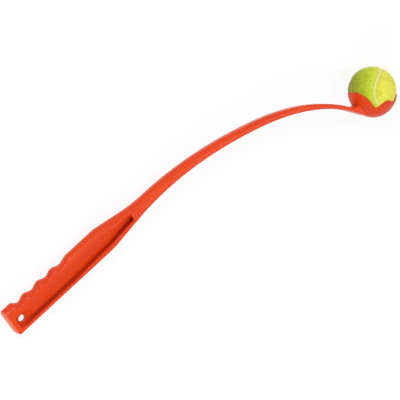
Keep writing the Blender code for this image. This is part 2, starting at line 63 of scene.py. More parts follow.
def clamp(share):
    return min(max(share, 0), 1)


def halfWave(share):
    return (1 - cos(pi * clamp(share))) / 2


def softRamp(share, softStart, softEnd):
    # straight rise from 0 to 1 whose first and last shares are eased
    share = clamp(share)
    speed = 1 / (1 - softStart / 2 - softEnd / 2)
    if share < softStart:
        return speed * share ** 2 / (2 * softStart)
    if share > 1 - softEnd:
        return 1 - speed * (1 - share) ** 2 / (2 * softEnd)
    return speed * (share - softStart / 2)


def blended(share, *values):
    # smooth run from the first value to the last, pulled by those between
    while len(values) > 1:
        values = [lerp(start, end, share) for start, end in zip(values, values[1:])]
    return values[0]


def heading(angle):
    return Vector((cos(angle), sin(angle), 0))


def bezier(start, startHeading, end, endHeading, share):
    # point and heading on a cubic curve between two knots
    pull = (end - start).length / 3
    points = [start, start + heading(startHeading) * pull, end - heading(endHeading) * pull, end]
    while len(points) > 2:
        points = [near.lerp(far, share) for near, far in zip(points, points[1:])]
    before, after = points
    step = after - before
    return before.lerp(after, share), atan2(step.y, step.x)


def quarterTurn(steps):
    # how far a rounded corner has left each of its two sides, step by step
    angles = [pi / 2 * step / steps for step in range(steps + 1)]
    return [(1 - cos(angle), 1 - sin(angle)) for angle in angles]


def meshFrom(bm, name):
    mesh = bpy.data.meshes.new(name)
    bm.to_mesh(mesh)
    bm.free()
    return mesh


def faceOutwards(mesh):
    bm = bmesh.new()
    bm.from_mesh(mesh)
    bmesh.ops.recalc_face_normals(bm, faces=bm.faces)
    bm.to_mesh(mesh)
    bm.free()


def shadeSmooth(mesh, angle):
    mesh.shade_smooth()
    mesh.set_sharp_from_angle(angle=angle)


def addPiece(name, mesh):
    piece = bpy.data.objects.new(name, mesh)
    bpy.context.scene.collection.objects.link(piece)
    return piece


def plainMesh(piece, name):
    # the evaluated object as a mesh without modifiers
    bpy.context.view_layer.update()
    graph = bpy.context.evaluated_depsgraph_get()
    mesh = bpy.data.meshes.new_from_object(
        piece.evaluated_get(graph), preserve_all_data_layers=True, depsgraph=graph)
    mesh.name = name
    return mesh


def boolean(piece, operation, tool):
    modifier = piece.modifiers.new(operation.lower(), "BOOLEAN")
    modifier.operation = operation
    modifier.solver = "EXACT"
    modifier.object = tool


# Node trees

def reckoning(operation, backwards=False):
    # an operator of a field, as a node that reckons with it
    def reckoned(field, other):
        return field.build.math(operation, *((other, field) if backwards else (field, other)))
    return reckoned


class Field:
    # a node's output that can be reckoned with like a number
    def __init__(self, build, socket):
        self.build = build
        self.socket = socket

    __add__ = __radd__ = reckoning("ADD")
    __sub__ = reckoning("SUBTRACT")
    __rsub__ = reckoning("SUBTRACT", backwards=True)
    __mul__ = __rmul__ = reckoning("MULTIPLY")
    __truediv__ = reckoning("DIVIDE")
    __rtruediv__ = reckoning("DIVIDE", backwards=True)


def sine(angle):
    return angle.build.math("SINE", angle)


def cosine(angle):
    return angle.build.math("COSINE", angle)


class NodeTree:
    # puts nodes into a tree and wires them up in one call
    def __init__(self, tree):
        self.tree = tree

    def add(self, kind, inputs=None, **settings):
        node = self.tree.nodes.new(kind)
        for name, value in settings.items():
            setattr(node, name, value)
        return self.fill(node, inputs or {})

    def fill(self, node, inputs):
        # links and plain values for a node's inputs
        for name, value in inputs.items():
            socket = node.inputs[name]
            if isinstance(value, bpy.types.Node):
                value = self.first(value)
            if isinstance(value, Field):
                self.tree.links.new(value.socket, socket)
            elif socket.type == "RGBA" and len(value) == 3:
                socket.default_value = (*value, 1)
            else:
                socket.default_value = value
        return node

    def first(self, node):
        return Field(self, next(output for output in node.outputs if output.enabled))

    def outputs(self, node):
        return {output.name: Field(self, output) for output in node.outputs if output.name}

    def field(self, kind, inputs=None, **settings):
        return self.first(self.add(kind, inputs, **settings))

    def math(self, operation, *values):
        return self.field("ShaderNodeMath", dict(enumerate(values)), operation=operation)

    def vector(self, operation, *values):
        return self.field("ShaderNodeVectorMath", dict(enumerate(values)), operation=operation)

    def scaled(self, vector, factor):
        return self.field("ShaderNodeVectorMath", {0: vector, "Scale": factor}, operation="SCALE")

    def combine(self, x, y, z):
        return self.field("ShaderNodeCombineXYZ", {"X": x, "Y": y, "Z": z})

    def axes(self, vector):
        return self.outputs(self.add("ShaderNodeSeparateXYZ", {0: vector})).values()

    def mapped(self, value, low, high, start=0, end=1):
        # runs from start to end while the value goes from low to high
        return self.field("ShaderNodeMapRange", {
            "Value": value, "From Min": low, "From Max": high, "To Min": start, "To Max": end})

    def place(self):
        # where a point lies, in the piece's own coordinates
        return self.outputs(self.add("ShaderNodeTexCoord"))["Object"]

    def attribute(self, name):
        return self.outputs(self.add("ShaderNodeAttribute", attribute_name=name,
                                     attribute_type="GEOMETRY"))["Fac"]

    def noise(self, place, size, **settings):
        inputs = {name.capitalize(): value for name, value in settings.items()}
        return self.field("ShaderNodeTexNoise", {"Vector": place, "Scale": 1 / size, **inputs})

    def mixed(self, share, first, second):
        node = self.add("ShaderNodeMix", {"Factor": share}, data_type="RGBA")
        return Field(self, self.fill(node, {6: first, 7: second}).outputs[2])

    def ramp(self, value, *stops):
        node = self.add("ShaderNodeValToRGB", {"Fac": value})
        elements = node.color_ramp.elements
        while len(elements) < len(stops):
            elements.new(0.5)
        for element, (place, colour) in zip(elements, stops):
            element.position = place
            element.color = (*colour, 1)
        return self.first(node)


def socketKind(value):
    # a socket is named with its value, or with its kind in words
    if isinstance(value, str):
        return "NodeSocket" + value
    if isinstance(value, (int, float)):
        return "NodeSocketInt" if isinstance(value, int) else "NodeSocketFloat"
    return "NodeSocketVector" if len(value) == 3 else "NodeSocketColor"


def newGroup(name, kind, inputs, outputs):
    tree = bpy.data.node_groups.new(name, kind)
    for direction, sockets in (("INPUT", inputs), ("OUTPUT", outputs)):
        for label, value in sockets.items():
            socket = tree.interface.new_socket(label, in_out=direction, socket_type=socketKind(value))
            if not isinstance(value, str):
                socket.default_value = value
    build = NodeTree(tree)
    return build, build.outputs(build.add("NodeGroupInput")), build.add("NodeGroupOutput")


def newGeometryTree(name, sizes):
    build, given, made = newGroup(
        name, "GeometryNodeTree", {**sizes, "Material": "Material"}, {"Geometry": "Geometry"})
    build.tree.is_modifier = True
    return build, given, made


def finishTree(build, given, made, geometry):
    # every geometry tree ends in real faces that carry the material
    real = build.add("GeometryNodeRealizeInstances", {"Geometry": geometry})
    painted = build.add("GeometryNodeSetMaterial", {"Geometry": real, "Material": given["Material"]})
    build.fill(made, {"Geometry": painted})
    return build.tree


def socketValues(sizes, *names):
    # sizes under the names of their sockets: "Lip Wall" takes sizes["lipWall"]
    return {name: sizes[name[0].lower() + name[1:].replace(" ", "")] for name in names}


def grown(name, tree, values, mesh=None):
    # runs a tree on a mesh, or on an empty one, and gives back the plain mesh that it makes
    piece = addPiece(name, mesh or bpy.data.meshes.new(name))
    modifier = piece.modifiers.new(tree.name, "NODES")
    modifier.node_group = tree
    for socket in tree.interface.items_tree:
        if socket.in_out == "INPUT" and socket.name in values:
            modifier[socket.identifier] = values[socket.name]
    result = plainMesh(piece, name)
    bpy.data.objects.remove(piece)
    return result


# Effects that several finishes share

dustLook = {
    "colour": (0.62, 0.56, 0.48, 1),
    "spread": (0.46, 0.72),  # span of the noise from bare to covered
    "roughness": 0.85,
}


def makeGrain():
    # fine moulding grain: a height for the bump and a slow, cloudy variation
    build, given, made = newGroup(
        "surfaceGrain", "ShaderNodeTree",
        {"Grain Size": 0.0006, "Cloud Size": 0.02, "Stretch": (1, 1, 1)},
        {"Height": "Float", "Cloud": "Float"})
    place = build.vector("MULTIPLY", build.place(), given["Stretch"])
    build.fill(made, {"Height": build.noise(place, given["Grain Size"], detail=3),
                      "Cloud": build.noise(place, given["Cloud Size"], detail=4)})
    return build.tree


def makeDust():
    # a breath of pale dust that settles in patches
    build, given, made = newGroup(
        "settledDust", "ShaderNodeTree",
        {"Colour": "Color", "Roughness": 0.4, "Amount": 0.05, "Patch Size": 0.012,
         "Dust Colour": dustLook["colour"]},
        {"Colour": "Color", "Roughness": "Float"})
    patches = build.noise(build.place(), given["Patch Size"], detail=6, roughness=0.65)
    mask = build.mapped(patches, *dustLook["spread"]) * given["Amount"]
    build.fill(made, {"Colour": build.mixed(mask, given["Colour"], given["Dust Colour"]),
                      "Roughness": lerp(given["Roughness"], dustLook["roughness"], mask)})
    return build.tree


def makePaintedLightSide():
    # painted light and shade: how far a place on the ball lies towards its painted lit side
    build, given, made = newGroup(
        "paintedLightSide", "ShaderNodeTree",
        {"Centre": (0, 0, 0), "Direction": (1, 0, 0), "Start": -0.03, "End": 0.01}, {"Share": "Float"})
    outward = build.vector("SUBTRACT", build.place(), given["Centre"])
    along = build.vector("DOT_PRODUCT", outward, given["Direction"])
    build.fill(made, {"Share": build.mapped(along, given["Start"], given["End"])})
    return build.tree


grainGroup = makeGrain()
dustGroup = makeDust()
paintedLightGroup = makePaintedLightSide()


def newFinish(name):
    material = bpy.data.materials.new(name)
    material.use_nodes = True
    return material, NodeTree(material.node_tree), material.node_tree.nodes["Principled BSDF"]


def effect(build, group, values):
    # one use of a shared effect, with its named inputs filled in
    return build.outputs(build.add("ShaderNodeGroup", values, node_tree=group))


def grained(build, look):
    return effect(build, grainGroup, {
        "Grain Size": look["grainSize"], "Cloud Size": look["cloudSize"], "Stretch": look["flow"]})


def finishShader(build, shader, look, colour, roughness, height):
    # what every finish has: dust, bump and the plain numbers on the shader's own sockets
    dusty = effect(build, dustGroup, {
        "Colour": colour, "Roughness": roughness, "Amount": look["dust"], "Patch Size": look["patchSize"]})
    bump = build.add("ShaderNodeBump", {
        "Height": height, "Strength": look["bump"], "Distance": look["bumpDepth"]})
    build.fill(shader, {"Base Color": dusty["Colour"], "Roughness": dusty["Roughness"], "Normal": bump,
                        **look["shader"]})


# Ball, cup and where they stand

ballSizes = {
    "radius": 0.0329,  # over the felt
    "feltThickness": 0.0032,
    "seamWidth": 0.0036,  # pale stripe between the two panels
    "seamSink": 0.0004,  # its crown below the felt's surface
    "seamFlatness": 0.55,
    "seamOverlap": 0.0003,  # how far the bead runs on under the felt's edges
    "seamPoints": 360,
    "seamSides": 20,
    "seamSwing": 0.28,  # how far the seam swings from a great circle
    "seamTurn": (radians(-49.2), radians(21.1), radians(-28.5)),
    "seamSamples": 1440,  # places on the seam to which distances are measured
    "feltRoll": 0.0015,  # width of the panels' rolled edges
    "feltRollDepth": 0.0005,
    "feltRollShares": (0, 0.15, 0.4, 0.7, 1),  # where the roll gets its own rows of points
    "feltLevel": 6,  # subdivisions of the panels' sphere
    "matting": 0.00016,  # height of the felt's lumps
    "mattingSize": 0.0042,
    "mattingNoise": (1, 2, 3),  # their noise's roughness, gap between octaves and octaves
    "snap": 0.00006,  # a point this near to a cutting line is moved onto it
    "sharpAngle": radians(60),
}

cupSizes = {
    "clearance": 0.0003,  # between ball and cup
    "lipWall": 0.0008,
    "floorGain": 0.0032,  # the wall thickens by this towards the floor
    "floorLean": radians(16),  # its thickest place lies this far to the front
    "rimHigh": 0.0036,  # highest lip, below the ball's centre
    "rimLow": 0.0238,  # deep notch, below the ball's centre
    "mouthAngle": radians(48.75),
    # share of the half turn from the front, share of the way from low to high
    "rimShares": ((0.00, 0.97), (0.185, 0.96), (0.24, 0.48), (0.27, 0.41), (0.32, 0.44), (0.39, 0.53),
                  (0.45, 0.46), (0.50, 0.28), (0.55, 0.06), (0.59, 0.00), (0.63, 0.09), (0.68, 0.33),
                  (0.73, 0.60), (0.79, 0.81), (0.85, 0.95), (0.92, 1.00), (1.00, 0.98)),
    "turns": 180,
    "rings": 84,
    "lipShare": 0.14,  # share of the rings that go round the lip
    "mergeDistance": 0.00002,
}

cupInner = ballSizes["radius"] + cupSizes["clearance"]
cupOuter = cupInner + cupSizes["lipWall"]
cupFloor = cupOuter + cupSizes["floorGain"] * cos(cupSizes["floorLean"]) ** 2
feltInner = ballSizes["radius"] - ballSizes["feltThickness"]
mouthAngle = cupSizes["mouthAngle"]
cupAlong = Vector((sin(mouthAngle), -cos(mouthAngle), 0))  # away from the shaft
mouthAxis = Vector((cos(mouthAngle), sin(mouthAngle), 0))
sideways = Vector((0, 0, 1))


# Arm

gripSizes = {
    "halfWidth": 0.010,
    "length": 0.1599,  # butt to the start of the taper
    "depth": 0.0345,  # lower rim to finger side
    "buttLip": 0.0025,  # how far the butt end stands over the finger side
    "buttLean": radians(3.5),
    "buttRound": 0.0025,
    "buttHeel": 0.0053,
    "leanReach": 0.030,  # the lean dies out over this length
    "grooves": 4,
    "groovePitch": 0.02346,
    "grooveDepth": 0.0034,
    "grooveExit": 0.657,  # slope out of the last groove, as a share of the pitch
    "firstGroove": 0.0272,
    "lipFall": 0.0107,  # slope from the butt lip down to the first groove
    "knuckle": 0.0010,  # swell of the sides between the grooves
    "holeRadius": 0.0048,
    "holeAlong": 0.0174,
    "holeUp": 0.0141,
    "holeCut": 0.030,  # length of the cutter
}

recessSizes = {
    "start": 0.0075,  # solid end behind the butt face
    "wall": 0.0044,  # run of the wall at that end
    "slotEnd": 0.208,  # tip of the recess
    "slotRound": 0.0040,
    "rimThickness": 0.0036,
    "rimRound": 0.0016,
    "cornerGain": 0.0022,  # how far the lower corner by the butt is rounded off
    "cornerReach": 0.011,
    "rimGain": 0.0020,  # the rim gets this much thicker
    "rimGainStart": 0.090,  # from here to the start of the taper
    "slotThinning": 0.0014,  # and that much thinner again towards the slot's tip
    "webHalf": 0.0020,  # half of the wall that is left in the middle
    "fillet": 0.0007,
    "flankAngle": radians(25.5),  # where the round finger side runs into the recess's floor
    "slotFlankAngle": radians(-14),
    "buttFlankAngle": radians(60),  # round the hole, where the floor is deeper
    "buttFlankReach": 0.030,  # until the floor has its usual depth
    "shadeReach": 0.013,  # how far the painted shade reaches out of the inner corner
    "wallShade": 5.0,  # it fades that much faster up the rim's wall
    "slotWallShade": 0.7,  # the same at the slot's tip
    "slotShade": 0.5,  # extra painted shade towards the slot's tip
    "buttShade": 0.15,  # what is left of it by the hole, where the floor is wide
}

shaftSizes = {
    "taperLength": 0.0717,  # of the lower side
    "taperSoft": (0.12, 0.10),  # shares of it that are eased, at its start and end
    "fingerTaper": 0.0807,  # of the finger side, which dies out on the shaft
    "fingerSoft": (0.02, 0.50),
    "rootRise": 0.0082,  # lower edge at the shaft's root
    "rootDepth": 0.01615,
    "reach": 0.31015,  # root to neck, along the grip's axis
    "drop": 0.10155,  # root to neck, across it
    "midReach": 0.1933,
    "midDrop": 0.02744,
    "rootHeading": radians(2.93),
    "midHeading": radians(-17.4),
    "neckHeading": radians(-52.8),
    "earlyDepth": 0.00825,  # pulls on the thickness on the way
    "lateDepth": 0.01115,
    "tipDepth": 0.0045,
    "tipHalfWidth": 0.0109,
    "rootCrown": 0.0085,  # rounding of the finger side
    "tipCrown": 0.0020,
    "edge": 0.0017,  # rounding of the lower side
    "widening": 1.8,  # the strip gets wider mostly near the cup
}

neckSizes = {
    "standoff": 0.0018,  # strip's end behind the cup, along the cup
    "rise": 0.0103,  # strip's end over the cup's floor
    "footReach": 0.0090,
    "footHalfWidth": 0.0035,
    "footSink": 0.0008,
    "rampStart": 0.0020,  # slope from the strip up the cup's rear
    "rampRise": 0.0085,
    "rampLength": 0.0106,
    "slimStart": 0.0210,  # from here the strip narrows to its foot
}

facets = {
    # steps along the arm
    "cap": 8, "groove": 18, "plain": 8, "taper": 34, "slot": 14, "span": 64, "neck": 56,
    # steps round it
    "edge": 6, "fillet": 4, "floor": 15, "crown": 22,
    # round the cutters of the hole and of the ball's seat
    "hole": 64, "seat": (120, 60),
    "sharpAngle": radians(38),  # an edge that turns by more stays sharp
}

rootTop = shaftSizes["rootRise"] + shaftSizes["rootDepth"]
fingerDrop = gripSizes["depth"] - rootTop
rootPoint = Vector((gripSizes["length"] + shaftSizes["taperLength"],
                    shaftSizes["rootRise"] + shaftSizes["rootDepth"] / 2, 0))
midPoint = rootPoint + Vector((shaftSizes["midReach"], -shaftSizes["midDrop"], 0))
neckPoint = rootPoint + Vector((shaftSizes["reach"], -shaftSizes["drop"], 0))
ballPoint = (neckPoint + cupAlong * (cupOuter + neckSizes["standoff"])
             + mouthAxis * (cupFloor - neckSizes["rise"]))
footPoint = (ballPoint + cupAlong * neckSizes["footReach"]
             - mouthAxis * (cupFloor - neckSizes["footSink"] - shaftSizes["tipDepth"] / 2))


def armPlace():
    # from the arm's own plane to the frame: tilted onto the ball, with the ball where CAD has it
    boxes = [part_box(node) for node in ("felt_panel_a", "felt_panel_b")]
    low = Vector([min(box[0][axis] for box in boxes) for axis in range(3)])
    high = Vector([max(box[1][axis] for box in boxes) for axis in range(3)])
    tilt = asin((ballSizes["radius"] - gripSizes["halfWidth"]) / ballPoint.x)
    turned = Matrix.Rotation(-tilt, 4, "Y")
    return Matrix.Translation((low + high) / 2 - turned @ ballPoint) @ turned


armMatrix = armPlace()
armInverse = armMatrix.inverted()
cupMatrix = armMatrix @ Matrix.LocRotScale(
    ballPoint, Matrix((cupAlong, -sideways, mouthAxis)).transposed(), None)
ballCentre = cupMatrix.translation


def fingerSide(x):
    # height of the finger side, with its lip and grooves
    size = gripSizes
    groove = size["depth"] - size["grooveDepth"]
    first = size["firstGroove"]
    pitch = size["groovePitch"]
    last = first + (size["grooves"] - 1) * pitch
    if x < first:
        share = (x - first + size["lipFall"]) / size["lipFall"]
        return lerp(size["depth"] + size["buttLip"], groove, halfWave(share))
    if x < last:
        return groove + size["grooveDepth"] * (1 - cos(2 * pi * (x - first) / pitch)) / 2
    return lerp(groove, size["depth"], halfWave((x - last) / (pitch * size["grooveExit"])))


def fingerFall(x):
    # 0 where the finger side is still the grip's, 1 where it is the shaft's
    return softRamp((x - gripSizes["length"]) / shaftSizes["fingerTaper"], *shaftSizes["fingerSoft"])


def gripStation(x, opened=0, narrow=1, capAngle=pi / 2):
    # one station of the grip or its taper: how far the recess is cut, how narrow its slot is,
    # and how far round the butt's rounded edges it lies
    grip, recess, shaft = gripSizes, recessSizes, shaftSizes
    share = softRamp((x - grip["length"]) / shaft["taperLength"], *shaft["taperSoft"])
    fingerShare = fingerFall(x)
    slotShare = clamp((x - grip["length"]) / (recess["slotEnd"] - grip["length"]))
    rimShare = halfWave((x - recess["rimGainStart"]) / (grip["length"] - recess["rimGainStart"]))
    buttShare = halfWave((x - recess["start"]) / recess["buttFlankReach"])

    inset = grip["buttRound"] * (1 - sin(capAngle))
    half = grip["halfWidth"] - inset
    heel = grip["buttHeel"]
    low = heel - sqrt(heel ** 2 - max(heel - x, 0) ** 2)
    crown = lerp(grip["halfWidth"], shaft["rootCrown"], fingerShare)
    flank = lerp(recess["buttFlankAngle"], recess["flankAngle"], buttShare)
    corner = recess["cornerGain"] * (1 - halfWave((x - recess["start"]) / recess["cornerReach"]))
    rim = recess["rimThickness"] + recess["rimGain"] * rimShare - recess["slotThinning"] * slotShare ** 2
    crest = clamp((fingerSide(x) - grip["depth"]) / grip["grooveDepth"] + 1)
    swell = grip["knuckle"] * crest * (1 - fingerShare) * halfWave((x - recess["start"]) / recess["start"])
    return SimpleNamespace(
        centre=Vector((x, 0, 0)), heading=0, lean=tan(grip["buttLean"]) * clamp(1 - x / grip["leanReach"]),
        low=low + shaft["rootRise"] * share, high=fingerSide(x) - fingerDrop * fingerShare - inset,
        half=half, edge=lerp(recess["rimRound"], shaft["edge"], share), crown=min(crown, half),
        axis=lerp(grip["depth"] - grip["halfWidth"], rootTop - shaft["rootCrown"], fingerShare),
        flank=lerp(flank, recess["slotFlankAngle"], slotShare), rim=rim + corner, swell=swell,
        opened=opened, narrow=narrow, slotShare=slotShare, buttShare=buttShare)


def gripStations():
    grip, recess, cap = gripSizes, recessSizes, facets["cap"]
    angles = [pi / 2 * step / cap for step in range(cap + 1)]
    stations = [gripStation(grip["buttRound"] * (1 - cos(angle)), capAngle=angle) for angle in angles]
    stations += [gripStation(lerp(grip["buttRound"], recess["start"], step / cap))
                 for step in range(1, cap)]
    stations += [gripStation(recess["start"] + recess["wall"] * step / cap, halfWave(step / cap))
                 for step in range(cap + 1)]

    # the open length: grooves, plain grip and taper
    pitch = grip["groovePitch"] / facets["groove"]
    grooved = grip["grooves"] - 1 + grip["grooveExit"]
    first = ceil((recess["start"] + recess["wall"] - grip["firstGroove"]) / pitch + 0.5)
    last = floor(facets["groove"] * grooved)
    places = [grip["firstGroove"] + pitch * step for step in range(first, last + 1)]
    stretches = ((grip["firstGroove"] + grip["groovePitch"] * grooved, "plain", grip["length"]),
                 (grip["length"], "taper", recess["slotEnd"] - recess["slotRound"]))
    for start, name, end in stretches:
        places += [lerp(start, end, step / facets[name]) for step in range(facets[name])]
    stations += [gripStation(place, 1) for place in places + [recess["slotEnd"] - recess["slotRound"]]]

    # the slot's round tip, then whole again up to the shaft
    leastNarrow = recess["rimRound"] / recess["rimThickness"] / 2
    for step in range(1, facets["slot"] + 1):
        angle = pi / 2 * step / facets["slot"]
        stations.append(gripStation(recess["slotEnd"] - recess["slotRound"] * (1 - sin(angle)),
                                    int(step < facets["slot"]), max(cos(angle), leastNarrow)))
    stations += [gripStation(lerp(recess["slotEnd"], rootPoint.x, step / cap)) for step in range(1, cap)]
    return stations


def stripStation(centre, angle, low, high, half, crown):
    crown = min(crown, half)
    return SimpleNamespace(
        centre=centre, heading=angle, lean=0, low=low, high=high, half=half,
        edge=min(shaftSizes["edge"], half), crown=crown, axis=high - crown, opened=None, swell=0)


def shaftStations():
    # two curved spans, wider and thinner towards the neck
    size = shaftSizes
    knots = ((rootPoint, size["rootHeading"]), (midPoint, size["midHeading"]),
             (neckPoint, size["neckHeading"]))
    stations = []
    for span in range(2):
        for step in range(facets["span"] + span):
            share = step / facets["span"]
            centre, angle = bezier(*knots[span], *knots[span + 1], share)
            along = (span + share) / 2
            depth = blended(along, size["rootDepth"], size["earlyDepth"], size["lateDepth"],
                            size["tipDepth"])
            high = depth / 2 + fingerDrop * (1 - fingerFall(centre.x))
            half = lerp(gripSizes["halfWidth"], size["tipHalfWidth"], along ** size["widening"])
            crown = lerp(size["rootCrown"], size["tipCrown"], along)
            stations.append(stripStation(centre, angle, -depth / 2, high, half, crown))
    return stations


def neckStations():
    # the strip runs on under the cup, rises behind it and narrows to a foot
    size = neckSizes
    tip = shaftSizes["tipDepth"] / 2
    whole = (footPoint - neckPoint).dot(cupAlong)
    stations = []
    for step in range(1, facets["neck"] + 1):
        centre, angle = bezier(neckPoint, shaftSizes["neckHeading"], footPoint, mouthAngle - pi / 2,
                               step / facets["neck"])
        along = (centre - neckPoint).dot(cupAlong)
        high = tip + size["rampRise"] * halfWave((along - size["rampStart"]) / size["rampLength"])
        slim = halfWave((along - size["slimStart"]) / (whole - size["slimStart"]))
        half = lerp(shaftSizes["tipHalfWidth"], size["footHalfWidth"], slim)
        stations.append(stripStation(centre, angle, -tip, high, half, shaftSizes["tipCrown"]))
    return stations


def recessLine(station):
    # from the rim's inner edge down to the web and up the floor to the round finger side
    size = recessSizes
    wall = station.low + station.rim
    corner = quarterTurn(facets["fillet"])
    points = [(wall - size["rimRound"] * out, station.half - size["rimRound"] * up) for up, out in corner]
    points += [(wall + size["fillet"] * up, size["webHalf"] + size["fillet"] * out) for up, out in corner]
    flankUp = station.axis - station.crown * sin(station.flank)
    flankOut = station.half - station.crown * (1 - cos(station.flank))
    run = flankUp - wall - size["fillet"]
    rise = flankOut - size["webHalf"]
    power = max(tan(station.flank) * run / rise, 1)
    for step in range(1, facets["floor"] + 1):
        share = step / facets["floor"]
        points.append((wall + size["fillet"] + run * share, size["webHalf"] + rise * share ** power))
    middle = (wall + flankUp) / 2
    return [(lerp(middle, up, station.narrow), lerp(station.half, out, station.opened))
            for up, out in points]


def halfOutline(station):
    # height and width from the lower middle round one side to the upper middle
    edge, steps = station.edge, facets["edge"]
    points = [(station.low, (station.half - edge) * step / steps) for step in range(steps)]
    points += [(station.low + edge * up, station.half - edge * out) for up, out in quarterTurn(steps)]
    flank = 0
    if station.opened is None:
        count = 2 * (facets["fillet"] + 1) + facets["floor"] + 1
        points += [(lerp(station.low + edge, station.axis, step / count), station.half)
                   for step in range(1, count)]
    else:
        points += recessLine(station)
        flank = station.flank * station.opened * station.narrow
    for step in range(1, facets["crown"]):
        share = step / facets["crown"]
        angle = lerp(-flank, pi / 2, share)
        rise = station.high - station.axis if angle > 0 else station.crown
        points.append((station.axis + rise * sin(angle),
                       station.half - station.crown * (1 - cos(angle)) + station.swell * sin(pi * share)))
    return points + [(station.high, 0)]


def loft(bm, stations):
    # both halves of every station's outline, skinned and closed at the ends
    rings = []
    for station in stations:
        along = heading(station.heading)
        up = Vector((-along.y, along.x, 0)) + along * station.lean
        half = [station.centre + up * height + sideways * out for height, out in halfOutline(station)]
        mirrored = [Vector((point.x, point.y, -point.z)) for point in half[-2:0:-1]]
        rings.append([bm.verts.new(point) for point in half + mirrored])
    for ring, after in zip(rings, rings[1:]):
        for corner in range(len(ring)):
            other = (corner + 1) % len(ring)
            bm.faces.new((ring[corner], after[corner], after[other], ring[other]))
    bm.faces.new(rings[0])
    bm.faces.new(reversed(rings[-1]))


def makeCupTree(sizes):
    # a bowl whose rim follows a curve round its half turn, with a full round lip
    build, given, made = newGeometryTree("lobedCup", sizes)
    inner, lipWall, lean = given["Inner Radius"], given["Lip Wall"], given["Floor Lean"]
    grid = build.add("GeometryNodeMeshGrid", {
        "Size X": 1, "Size Y": 1, "Vertices X": given["Turns"] + 1, "Vertices Y": given["Rings"]})
    across, along, _ = build.axes(build.add("GeometryNodeInputPosition"))
    turnShare = across + 0.5
    ringShare = along + 0.5
    turn = turnShare * (2 * pi)

    # rim: depth below the ball's centre as a polar angle from the floor
    lobes = build.add("ShaderNodeFloatCurve", {"Value": 1 - build.math("ABSOLUTE", turnShare * 2 - 1)})
    curve = lobes.mapping.curves[0]
    shares = cupSizes["rimShares"]
    curve.points[0].location = shares[0]
    curve.points[1].location = shares[-1]
    for share in shares[1:-1]:
        curve.points.new(*share)
    lobes.mapping.update()
    outer = inner + lipWall
    depth = lerp(given["Rim Low"], given["Rim High"], build.first(lobes))
    rimPolar = build.math("ARCCOSINE", depth / outer)
    lipPolar = lipWall / 2 / outer

    # up the inside, round the lip and down the outside
    lipStart = given["Lip Share"] * -0.5 + 0.5
    lipEnd = given["Lip Share"] * 0.5 + 0.5
    inShare = build.mapped(ringShare, 0, lipStart)
    outShare = build.mapped(ringShare, lipEnd, 1)
    lipTurn = build.mapped(ringShare, lipStart, lipEnd) * pi
    polar = lipPolar * sine(lipTurn) + (inShare - outShare) * (rimPolar - lipPolar)
    facing = sine(polar) * cosine(turn) * sine(lean) + cosine(polar) * cosine(lean)
    thick = build.math("POWER", build.math("MAXIMUM", facing, 0), 2)
    radius = lerp(inner, given["Floor Gain"] * thick + outer, cosine(lipTurn) * -0.5 + 0.5)
    spread = radius * sine(polar)
    moved = build.add("GeometryNodeSetPosition", {
        "Geometry": grid,
        "Position": build.combine(
            spread * cosine(turn), spread * sine(turn), radius * cosine(polar) * -1)})
    closed = build.add("GeometryNodeMergeByDistance", {
        "Geometry": moved, "Distance": given["Merge Distance"]})
    return finishTree(build, given, made, closed)


def makeCup(finish):
    sizes = {"Inner Radius": cupInner, **socketValues(
        cupSizes, "Lip Wall", "Floor Gain", "Floor Lean", "Rim High", "Rim Low", "Turns", "Rings",
        "Lip Share", "Merge Distance")}
    mesh = grown("cup", makeCupTree(sizes), {**sizes, "Material": finish})
    faceOutwards(mesh)
    mesh.transform(cupMatrix)
    return addPiece("cup", mesh)


def makeCutter(name, matrix, kind, **sizes):
    bm = bmesh.new()
    getattr(bmesh.ops, kind)(bm, **sizes)
    bmesh.ops.transform(bm, matrix=matrix, verts=bm.verts)
    return addPiece(name, meshFrom(bm, name))


def paintCreviceShade(mesh):
    # painted shade: a point attribute that is strongest in the recess's inner corner, where it darkens the
    # colour as if shaded
    recess = recessSizes
    depth = mesh.attributes.new("paintedCreviceShade", "FLOAT", "POINT")
    for vert, mark in zip(mesh.vertices, depth.data):
        place = armInverse @ vert.co
        if recess["start"] < place.x < recess["slotEnd"]:
            station = gripStation(place.x)
            wall = station.low + station.rim
            if place.y > wall - recess["rimRound"] / 2:
                fading = lerp(recess["wallShade"], recess["slotWallShade"], station.slotShare)
                away = Vector((place.y - wall, (abs(place.z) - recess["webHalf"]) * fading)).length
                strength = lerp(recess["buttShade"], 1, station.buttShare)
                strength *= 1 + recess["slotShade"] * station.slotShare
                mark.value = halfWave(1 - away / recess["shadeReach"]) * strength


def makeArm(finish):
    # grip, shaft, neck and cup are one moulding, so they are joined into one skin
    bm = bmesh.new()
    loft(bm, gripStations() + shaftStations() + neckStations())
    bmesh.ops.recalc_face_normals(bm, faces=bm.faces)
    bmesh.ops.transform(bm, matrix=armMatrix, verts=bm.verts)
    arm = addPiece("armMoulding", meshFrom(bm, "armMoulding"))
    arm.data.materials.append(finish)
    size = gripSizes
    hole = makeCutter(
        "holeCutter", armMatrix @ Matrix.Translation((size["holeAlong"], size["holeUp"], 0)), "create_cone",
        cap_ends=True, segments=facets["hole"], radius1=size["holeRadius"], radius2=size["holeRadius"],
        depth=size["holeCut"])
    seat = makeCutter(
        "seatCutter", cupMatrix, "create_uvsphere", u_segments=facets["seat"][0],
        v_segments=facets["seat"][1], radius=cupInner + cupSizes["lipWall"] / 2)
    cup = makeCup(finish)
    boolean(arm, "DIFFERENCE", hole)
    boolean(arm, "DIFFERENCE", seat)
    boolean(arm, "UNION", cup)
    arm.data = plainMesh(arm, "armMoulding")
    arm.modifiers.clear()
    for tool in (hole, seat, cup):
        bpy.data.objects.remove(tool)
    shadeSmooth(arm.data, facets["sharpAngle"])
    paintCreviceShade(arm.data)
    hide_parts("thrower")
    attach(arm, "thrower")
    print("arm moulded:", len(arm.data.polygons), "faces")


# Plastic

